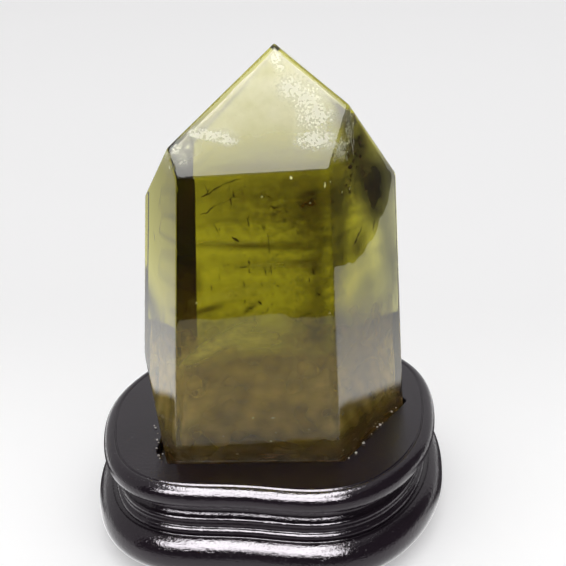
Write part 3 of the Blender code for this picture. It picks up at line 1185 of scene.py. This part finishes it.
@dataclass
class Interior:
    """What grew or broke in the crystal: cloudy foot, veils, threads, gas films, crumbs, sawn base.

    Threads are (from, to, width), glints (place, width, height) and grains (place on the top, radius),
    in mm; foot clouds are (depth, top, strength).
    """

    crystal: CrystalPoint
    rows: int = 250
    columns: int = 360
    dabs: int = 90
    layers: tuple[Layer, ...] = LAYERS
    foot_clouds: tuple[tuple[float, float, float], ...] = ((4.0, 43.0, 0.58), (10.0, 46.0, 0.70))
    fewest: float = 0.05
    threads: tuple[tuple[float, ...], ...] = (
        (-15.5, -26.4, 79.2, -9.0, -26.0, 82.9, 0.28), (-9.0, -26.0, 82.9, -3.9, -25.6, 84.7, 0.20),
        (-15.9, -26.7, 74.3, -10.5, -26.3, 77.6, 0.20), (-10.5, -26.3, 77.6, -5.4, -25.9, 79.6, 0.14),
        (-2.9, -26.3, 73.4, -2.4, -26.2, 70.4, 0.30), (-7.6, -26.6, 68.6, -5.3, -26.6, 66.4, 0.55),
        (3.6, -25.7, 76.6, 6.0, -25.6, 75.9, 0.45), (7.2, -25.5, 76.0, 8.2, -25.5, 74.9, 0.30),
        (-12.2, -26.6, 72.0, -10.8, -26.5, 69.0, 0.20), (2.5, -25.9, 70.0, 3.0, -26.3, 62.0, 0.16),
        (1.2, -27.0, 59.8, 1.9, -27.0, 56.6, 0.18), (3.1, -27.0, 59.6, 3.4, -27.0, 56.8, 0.16),
        (-0.6, -27.4, 49.4, 0.4, -27.4, 48.0, 0.45), (-4.9, -27.7, 45.4, -1.0, -27.4, 48.5, 0.22),
        (14.6, -26.0, 58.6, 15.2, -26.0, 56.4, 0.35), (23.6, -9.9, 98.3, 24.6, -8.3, 94.8, 0.7),
        (24.0, -9.5, 94.4, 23.8, -9.9, 91.8, 0.5), (26.0, -8.0, 64.5, 23.0, -14.0, 59.5, 0.4),
        (30.9, -1.0, 67.5, 29.4, -3.6, 61.0, 0.4), (-30.5, -16.0, 66.0, -30.0, -17.0, 62.5, 0.16),
    )
    glints: tuple[tuple[float, ...], ...] = (
        (9.3, -24.9, 84.4, 0.5, 0.8), (1.3, -25.6, 79.3, 0.55, 0.55), (14.3, -25.1, 77.3, 0.5, 0.4),
        (18.4, -24.6, 82.3, 0.25, 1.3), (22.1, -20.3, 78.6, 0.4, 0.9), (24.2, -16.1, 78.4, 0.25, 1.1),
        (19.4, -26.5, 45.3, 0.5, 0.8), (-3.2, -29.3, 13.1, 0.5, 0.3), (2.6, -29.0, 13.0, 0.8, 0.3),
        (1.8, -29.5, 5.6, 0.7, 0.35), (-8.2, -30.2, 1.5, 0.9, 0.3), (-17.2, -17.7, 95.2, 0.4, 0.9),
        (-13.0, -18.9, 93.6, 1.0, 0.5), (-9.7, -18.9, 93.6, 0.9, 0.5), (-6.8, -17.6, 95.1, 0.5, 0.7),
        (-21.1, -20.7, 91.3, 0.6, 0.6), (-18.9, -20.7, 91.3, 0.6, 0.6), (-23.1, -24.1, 87.0, 0.3, 1.2),
        (-15.2, -18.5, 94.2, 0.5, 0.4), (-20.0, -22.0, 89.4, 0.5, 0.4), (-17.9, -28.4, 49.0, 0.35, 0.5),
        (22.7, -17.8, 91.0, 0.7, 0.6), (21.6, -19.6, 90.8, 0.6, 0.5), (23.7, -15.7, 91.3, 0.6, 0.6),
        (23.2, -16.6, 90.2, 0.5, 0.4), (22.0, -18.8, 91.9, 0.5, 0.4), (24.6, -12.9, 98.6, 0.4, 0.5),
        (3.4, -29.6, 8.4, 0.3, 0.25), (-12.0, -29.8, 7.2, 0.3, 0.25), (13.0, -28.6, 9.2, 0.3, 0.25),
    )
    grains: tuple[tuple[float, float, float], ...] = (
        (-36.0, -12.6, 0.26), (-35.3, -14.0, 0.38), (-34.1, -17.4, 0.22), (-33.6, -21.4, 0.40),
        (-33.0, -22.8, 0.24), (-32.9, -26.4, 0.30), (-31.6, -30.6, 0.42), (-31.0, -32.0, 0.25),
        (-30.6, -29.4, 0.20), (26.7, -27.6, 0.40), (28.9, -21.8, 0.48), (31.2, -16.0, 0.20),
        (33.0, -11.9, 0.30), (33.8, -10.6, 0.46), (34.6, -9.2, 0.24), (37.4, -2.3, 0.42),
        (38.9, 0.5, 0.22), (24.6, -30.4, 0.24),
    )

    def local(self, points: Array) -> Array:
        """Millimetres from where the axis leaves the stand's top."""
        return (points - self.crystal.top) / MM

    def shell(self, depth: float, low: float, high: float, swell: float, seed: int) -> Array:
        """Inner copy of the crystal's form, the same depth under every flat.

        P(a, z) = C(z) + rho l(a); rho = least over the flats of (d_k - depth - n_k.C(z)) / n_k.l(a).
        C(z) is the axis, bent near the top towards the tip's apex; lumps of noise swell the depth.

        Args:
            depth: Depth under the flats, in mm.
            low: Lowest height, in mm above the stand's top.
            high: Greatest height, in mm.
            swell: Size of the lumps, in mm.
            seed: Which set of lumps.

        Returns:
            Grid of points, (rows, columns, 3).
        """
        normals, offsets = (values[:OUTER_FLATS] for values in self.crystal.half_spaces())
        azimuth = np.linspace(-180.0, 180.0, self.columns, endpoint=False)
        height = np.linspace(low, high, self.rows)
        lean = smooth(height, 75.0, 117.0)
        middle = self.crystal.top + np.stack([4.1 * lean, -3.0 - 1.7 * lean, height], -1) * MM
        around = np.radians(azimuth)
        level = np.stack([np.sin(around), -np.cos(around), np.zeros_like(around)], -1)
        facing = level @ normals.T
        room = offsets - depth * MM - middle @ normals.T
        reach = np.where(facing > 1e-3, room[:, None] / np.maximum(facing, 1e-3), 1.0).min(axis=-1)
        points = middle[:, None] + np.maximum(reach, 0.0)[..., None] * level
        lumps = lattice(points, 0.016, seed) * swell * MM
        return middle[:, None] + np.maximum(reach + lumps, 0.0)[..., None] * level

    def settle(self, item: bpy.types.Object) -> bpy.types.Object:
        """Let a piece ride on the body, and log it.

        Args:
            item: The piece.

        Returns:
            The same piece.
        """
        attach(item, BODY)
        report(item)
        return item

    def dress(self, name: str, points: Array, quads: Array, fade: Array, finish: Veil) -> bpy.types.Object:
        """Keep the part of a surface that shows and that lies inside the crystal, and make it a piece.

        Args:
            name: The piece's name.
            points: Points of the surface.
            quads: Its faces.
            fade: How thick the inclusions are at each point.
            finish: Their look.

        Returns:
            The piece.
        """
        points, fade = points.reshape(-1, 3), np.clip(fade.ravel(), 0.0, 1.0)
        gauge = self.crystal.gauge(points).max(axis=-1)
        fade = fade * smooth(1.0 - gauge, 0.004, 0.012)
        shows = fade[quads].max(axis=1) > self.fewest
        quads = quads[shows & (gauge[quads].max(axis=1) < 0.997)]
        used, quads = np.unique(quads, return_inverse=True)
        item = piece(name, points[used], quads.reshape(-1, 4), finish, {"fade": fade[used]})
        return self.settle(item)

    def veil(self, layer: Layer) -> bpy.types.Object:
        """A shell that shows only where its layer's clouds are.

        Args:
            layer: Where the shell lies and what it looks like.

        Returns:
            The piece.
        """
        points = self.shell(layer.depth, *layer.span, layer.swell, layer.seed)
        quads = grid_quads(self.rows, self.columns, True)
        return self.dress(layer.name, points, quads, layer.fade(self.local(points)), layer.finish)

    def foot(self, number: int, depth: float, top: float, strength: float) -> bpy.types.Object:
        """Cloudy foot: fade = strength * (1 - smooth rise of z) * lumps, less in the lowest 10 mm.

        Args:
            number: Which of the foot's shells.
            depth: Depth under the flats, in mm.
            top: Height where the cloud ends, in mm.
            strength: Greatest fade.

        Returns:
            The piece.
        """
        name, seed = f"foot_cloud_{number + 1}", 40 + 5 * number
        points = self.shell(depth, -3.4, top, 0.12 * depth, seed)
        rise = self.local(points)[..., 2]
        ragged = rise + 5.0 * lattice(points, 0.02, seed + 1)
        thin = 1.0 - smooth(ragged, top * 0.35, top * 0.98)
        lumps = 0.8 + 0.3 * lattice(points, 0.007, seed + 2)
        fade = strength * thin * lumps * (0.45 + 0.55 * smooth(rise, 2.0, 10.0))
        finish = Veil(name, (1.0, 0.78, 0.40), (0.82, 0.67, 0.42), (150.0, 150.0, 260.0), 0.45)
        return self.dress(name, points, grid_quads(self.rows, self.columns, True), fade, finish)

    def scratches(self) -> bpy.types.Object:
        """Rust-stained threads and specks: P(s, t) = A + s (B - A) + wobble + t w sin(pi s) across.

        Returns:
            The piece.
        """
        rng = np.random.default_rng(29)
        spot = rng.uniform((-15.0, -25.9, 42.0), (18.0, -24.6, 82.0), (self.dabs, 3))
        lean = rng.normal(1.35, 0.55, self.dabs)
        length = rng.uniform(0.5, 2.4, self.dabs)[:, None]
        ends = spot + length * np.stack([np.cos(lean), np.zeros_like(lean), np.sin(lean)], -1)
        scatter = np.concatenate([spot, ends, rng.uniform(0.06, 0.24, (self.dabs, 1))], axis=1)
        rows = np.concatenate([np.array(self.threads), scatter]) * (1.0, 1.0, 1.0, 1.0, 1.0, 1.0, 0.85) * MM
        start, end, wide = rows[:, :3] + self.crystal.top, rows[:, 3:6] + self.crystal.top, rows[:, 6]
        along, aside = np.linspace(0.0, 1.0, 15), np.linspace(-1.0, 1.0, 5)
        path = start[:, None] + (end - start)[:, None] * along[:, None]
        wobble = lattice(path, 0.0022, 71)[..., None] * (0.0, 0.0, 0.00022)
        run = (end - start) / np.linalg.norm(end - start, axis=1, keepdims=True)
        across = np.cross(run, (0.0, -0.97, 0.25))
        across /= np.linalg.norm(across, axis=1, keepdims=True)
        swell = np.sin(np.pi * along) ** 0.6 * (1.0 + 0.4 * lattice(path, 0.0015, 72))
        spread = (wide[:, None] * swell)[..., None, None] * across[:, None, None] * aside[:, None]
        points = (path + wobble)[:, :, None] + spread
        fade = np.broadcast_to(1.1 * (1.0 - aside ** 2) * np.ones((len(rows), 15, 1)), points.shape[:3])
        quads = many_grids(len(rows), 15, 5, False)
        rusty = (0.035, 0.012, 0.006), (0.06, 0.02, 0.008)
        finish = Veil("rust_threads", *rusty, (900.0, 900.0, 900.0), 0.5)
        return self.dress("rust_threads", points, quads, fade, finish)

    def gas_films(self) -> bpy.types.Object:
        """Bright flakes: P(r, t) = C + r ragged (a cos t across + b sin t up), each tilted a little.

        Returns:
            The piece.
        """
        rows = np.array(self.glints)
        rng = np.random.default_rng(17)
        middle = rows[:, :3] * MM + self.crystal.top
        facing = np.array([0.0, -0.60, 0.80]) + rng.normal(0.0, 0.10, (len(rows), 3))
        facing /= np.linalg.norm(facing, axis=1, keepdims=True)
        across = np.cross((0.0, 0.5, 0.86), facing)
        across /= np.linalg.norm(across, axis=1, keepdims=True)
        upward = np.cross(facing, across)
        share, turn = np.linspace(0.0, 1.0, 5), np.linspace(0.0, 2.0 * np.pi, 14, endpoint=False)
        ragged = 1.0 + rng.uniform(-0.4, 0.4, (len(rows), 1, 14))
        size = share[:, None] * ragged * 0.75 * MM
        wide = (size * np.cos(turn) * rows[:, 3, None, None])[..., None] * across[:, None, None]
        tall = (size * np.sin(turn) * rows[:, 4, None, None])[..., None] * upward[:, None, None]
        points = middle[:, None, None] + wide + tall
        quads = many_grids(len(rows), 5, 14, True)
        fade = np.broadcast_to((1.0 - 0.8 * share ** 3)[:, None], points.shape[:3]).ravel()
        return self.settle(piece("gas_films", points, quads, GasFilm(), {"fade": fade}, merge=1e-6))

    def crumbs(self) -> bpy.types.Object:
        """Crumbs caught at the foot: P(u, v) = C + r ragged (cos u sin v, sin u sin v, 0.7 cos v).

        Returns:
            The piece.
        """
        rows = np.array(self.grains) * MM
        rng = np.random.default_rng(23)
        turn = np.linspace(0.0, 2.0 * np.pi, 8, endpoint=False)
        turn, rise = np.meshgrid(turn, np.linspace(0.0, np.pi, 5))
        ball = np.stack([np.cos(turn) * np.sin(rise), np.sin(turn) * np.sin(rise), 0.7 * np.cos(rise)], -1)
        ragged = 1.0 + rng.uniform(-0.55, 0.55, (len(rows), 5, 8, 1)) * np.sin(rise)[..., None]
        middle = np.concatenate([rows[:, :2], 0.6 * rows[:, 2:]], axis=1) + self.crystal.top
        points = middle[:, None, None] + rows[:, 2, None, None, None] * ragged * ball
        quads = many_grids(len(rows), 5, 8, True)
        return self.settle(piece("quartz_crumbs", points, quads, Crumb(), merge=1e-6))

    def sawn_base(self) -> bpy.types.Object:
        """Lumpy brown sheet just above the crystal's underside: P(s, t) = middle + t (rim(s) - middle).

        Returns:
            The piece.
        """
        rim = self.crystal.rim(len(self.crystal.half_spaces()[1]) - 1)[::2]
        middle = rim.mean(axis=0)
        share = np.linspace(1.0, 0.0, 30)[:, None, None]
        points = middle + (rim - middle) * share * 0.992
        points[..., 2] += 0.00025 + 0.00012 * lattice(points, 0.004, 31)
        quads = grid_quads(30, len(rim), True)
        return self.settle(piece("sawn_base", points, quads, SawnStone(), merge=2e-6))

    def build(self) -> None:
        """Build everything inside the crystal."""
        self.sawn_base()
        for number, cloud in enumerate(self.foot_clouds):
            self.foot(number, *cloud)
        for layer in self.layers:
            self.veil(layer)
        self.scratches()
        self.gas_films()
        self.crumbs()


# ---------------------------------------------------------------------------
# studio
# ---------------------------------------------------------------------------
class Lamp(Enum):
    """What a light is for."""

    MATT = "lights matt things"
    GLOSS = "shows in gloss"
    GLASS = "shows through the crystal and lights what is in it"


@dataclass(frozen=True)
class Softbox:
    """Rectangular soft light; radiance is how bright its face is, next to white paper in this light."""

    name: str
    place: Colour
    aim: Colour
    sides: tuple[float, float]
    radiance: float
    use: Lamp
    stand_only: bool = False

    def build(self, lacquered: bpy.types.Collection) -> bpy.types.Object:
        """Stand the light in its place.

        Args:
            lacquered: What a light for the stand alone may light.

        Returns:
            The light.
        """
        light = bpy.data.lights.new(self.name, "AREA")
        light.shape = "RECTANGLE"
        light.size, light.size_y = self.sides
        light.energy = self.radiance * np.pi * self.sides[0] * self.sides[1]
        item = bpy.data.objects.new(self.name, light)
        bpy.context.scene.collection.objects.link(item)
        ahead = np.array(self.aim) - np.array(self.place)
        ahead /= np.linalg.norm(ahead)
        side = np.cross(ahead, (0.0, 0.0, 1.0) if abs(ahead[2]) < 0.99 else (0.0, 1.0, 0.0))
        side /= np.linalg.norm(side)
        stand_at(item, self.place, side, np.cross(side, ahead), ahead)
        item.visible_camera = False
        item.visible_diffuse = self.use is Lamp.MATT
        item.visible_glossy = self.use is Lamp.GLOSS
        item.visible_transmission = self.use is Lamp.GLASS
        if self.stand_only:
            item.light_linking.receiver_collection = lacquered
        return item


def stand_at(item: bpy.types.Object, place: Colour, side: Array, up: Array, ahead: Array) -> None:
    """Place a light or camera that looks ahead along its own -Z.

    Args:
        item: The light or camera.
        place: Where it stands.
        side: Unit vector to its right.
        up: Unit vector upwards in its view.
        ahead: Unit vector along its view.
    """
    columns = np.stack([side, up, -ahead, np.array(place)], axis=1)
    item.matrix_world = Matrix(np.vstack([columns, [0, 0, 0, 1]]).tolist())


@dataclass
class Studio:
    """Pale floor, soft lights, a dark flag beside the table, and the camera."""

    stand: bpy.types.Object
    floor_radius: float = 4.0
    flag_radius: float = 0.262
    flag_height: float = 0.34
    flag_span: tuple[float, float] = (-62.0, 121.3)
    flag_foot: float = 0.0005
    flag_sweep: tuple[float, float, float] = (114.5, 0.038, 2.6)
    lights: tuple[Softbox, ...] = (
        Softbox("floor_light", (0.05, -0.1, 1.7), (0.05, -0.1, 0.0), (2.6, 2.6), 0.70, Lamp.MATT),
        Softbox(
            "overhead_gloss", (-0.03, -0.02, 0.90), (-0.03, -0.02, 0.0), (0.50, 0.74), 26.0,
            Lamp.GLOSS, True,
        ),
        Softbox(
            "low_gloss", (-0.02, -0.175, 0.1855), (-0.01, -0.068, 0.017), (0.29, 0.095), 24.0,
            Lamp.GLOSS, True,
        ),
        Softbox("front_gloss", (-0.08, -0.52, 0.98), (0.0, 0.0, 0.06), (0.42, 0.22), 4.5, Lamp.GLOSS),
        Softbox("overhead_glass", (0.0, 0.61, 0.90), (0.0, 0.61, 0.0), (2.0, 1.98), 8.0, Lamp.GLASS),
    )
    world_colour: Colour = (1.0, 0.99, 1.0)
    world_strength: float = 0.58
    camera_place: tuple[float, float, float] = (0.03213, -0.33550, 0.21327)
    camera_turn: tuple[float, float, float] = (22.586, -4.590, -1.627)
    focal: float = 1199.99
    picture: int = 566

    def floor(self) -> None:
        """Round sheet of paper, once as seen and once as gloss and glass show it; the second copy glows
        with painted pools of light and a painted shadow.

        P(u, v) = R v^2 (cos u, sin u, 0).
        """
        turn = np.linspace(0, 2 * np.pi, 96, endpoint=False)
        turn, share = np.meshgrid(turn, np.linspace(0, 1, 24) ** 2)
        flat = np.stack([np.cos(turn) * share, np.sin(turn) * share, np.zeros_like(turn)], -1)
        flat = flat * self.floor_radius
        quads = grid_quads(24, 96, True)
        seen = piece("paper_floor", flat, quads, PalePaper(), merge=1e-6)
        seen.visible_glossy = seen.visible_transmission = False
        # lit copy: painted light and shadow, seen only in gloss and through the crystal
        lit = piece("lit_floor", flat - (0.0, 0.0, 0.0003), quads, LitPaper(), merge=1e-6)
        lit.visible_camera = lit.visible_diffuse = lit.visible_shadow = False
        lit.active_material.cycles.emission_sampling = "NONE"

    def flag(self) -> bpy.types.Object:
        """Curved dark screen round the front and right, seen only in reflections and through the crystal.

        P(a, t) = (R sin a, -R cos a, z0 + t (H - z0)); near its right end the lower edge z0 sweeps up.

        Returns:
            The screen.
        """
        turn = np.radians(np.linspace(*self.flag_span, 240))
        turn, rise = np.meshgrid(turn, np.linspace(0, 1, 4))
        start, lift, curve = self.flag_sweep
        sweep = np.clip((np.degrees(turn) - start) / (self.flag_span[1] - start), 0.0, 1.0)
        foot = self.flag_foot + lift * sweep ** curve
        height = foot + rise * (self.flag_height - foot)
        place = [np.sin(turn) * self.flag_radius, -np.cos(turn) * self.flag_radius, height]
        item = piece("dark_flag", np.stack(place, -1), grid_quads(4, 240, False), BlackCloth())
        item.visible_camera = item.visible_diffuse = item.visible_shadow = False
        return item

    def room(self) -> None:
        """Even pale light from all round."""
        world = bpy.data.worlds.new("pale_room")
        world.use_nodes = True
        sky = world.node_tree.nodes["Background"].inputs
        sky["Color"].default_value = (*self.world_colour, 1.0)
        sky["Strength"].default_value = self.world_strength
        bpy.context.scene.world = world
        bpy.context.scene.view_settings.view_transform = "Standard"

    def camera(self) -> bpy.types.Object:
        """Camera: ahead = (sin y cos p, cos y cos p, -sin p), with p down, y aside and a small roll.

        Returns:
            The camera.
        """
        pitch, yaw, roll = np.radians(self.camera_turn)
        level_share = np.cos(pitch)
        ahead = np.array([np.sin(yaw) * level_share, np.cos(yaw) * level_share, -np.sin(pitch)])
        level = np.array([np.cos(yaw), -np.sin(yaw), 0.0])
        upright = np.cross(level, ahead)
        side = level * np.cos(roll) + upright * np.sin(roll)
        up = upright * np.cos(roll) - level * np.sin(roll)
        data = bpy.data.cameras.new("camera")
        data.sensor_width = 36.0
        data.lens = self.focal / self.picture * data.sensor_width
        data.clip_start = 0.01
        item = bpy.data.objects.new("camera", data)
        bpy.context.scene.collection.objects.link(item)
        stand_at(item, self.camera_place, side, up, ahead)
        bpy.context.scene.camera = item
        return item

    def build(self) -> None:
        """Set up everything round the object."""
        self.floor()
        self.flag()
        self.room()
        lacquered = bpy.data.collections.new("lacquered")
        lacquered.objects.link(self.stand)
        for light in self.lights:
            light.build(lacquered)
        self.camera()


def main() -> None:
    """Build the stand, the crystal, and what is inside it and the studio."""
    logging.basicConfig(level=logging.INFO, format="%(name)s %(message)s")
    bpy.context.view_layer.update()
    stand = DisplayStand()
    crystal = CrystalPoint(top=stand.top_centre())
    lacquered = stand.build(crystal.walls())
    report(lacquered)
    report(crystal.build())
    Interior(crystal).build()
    Studio(lacquered).build()


if __name__ == "__main__":
    main()
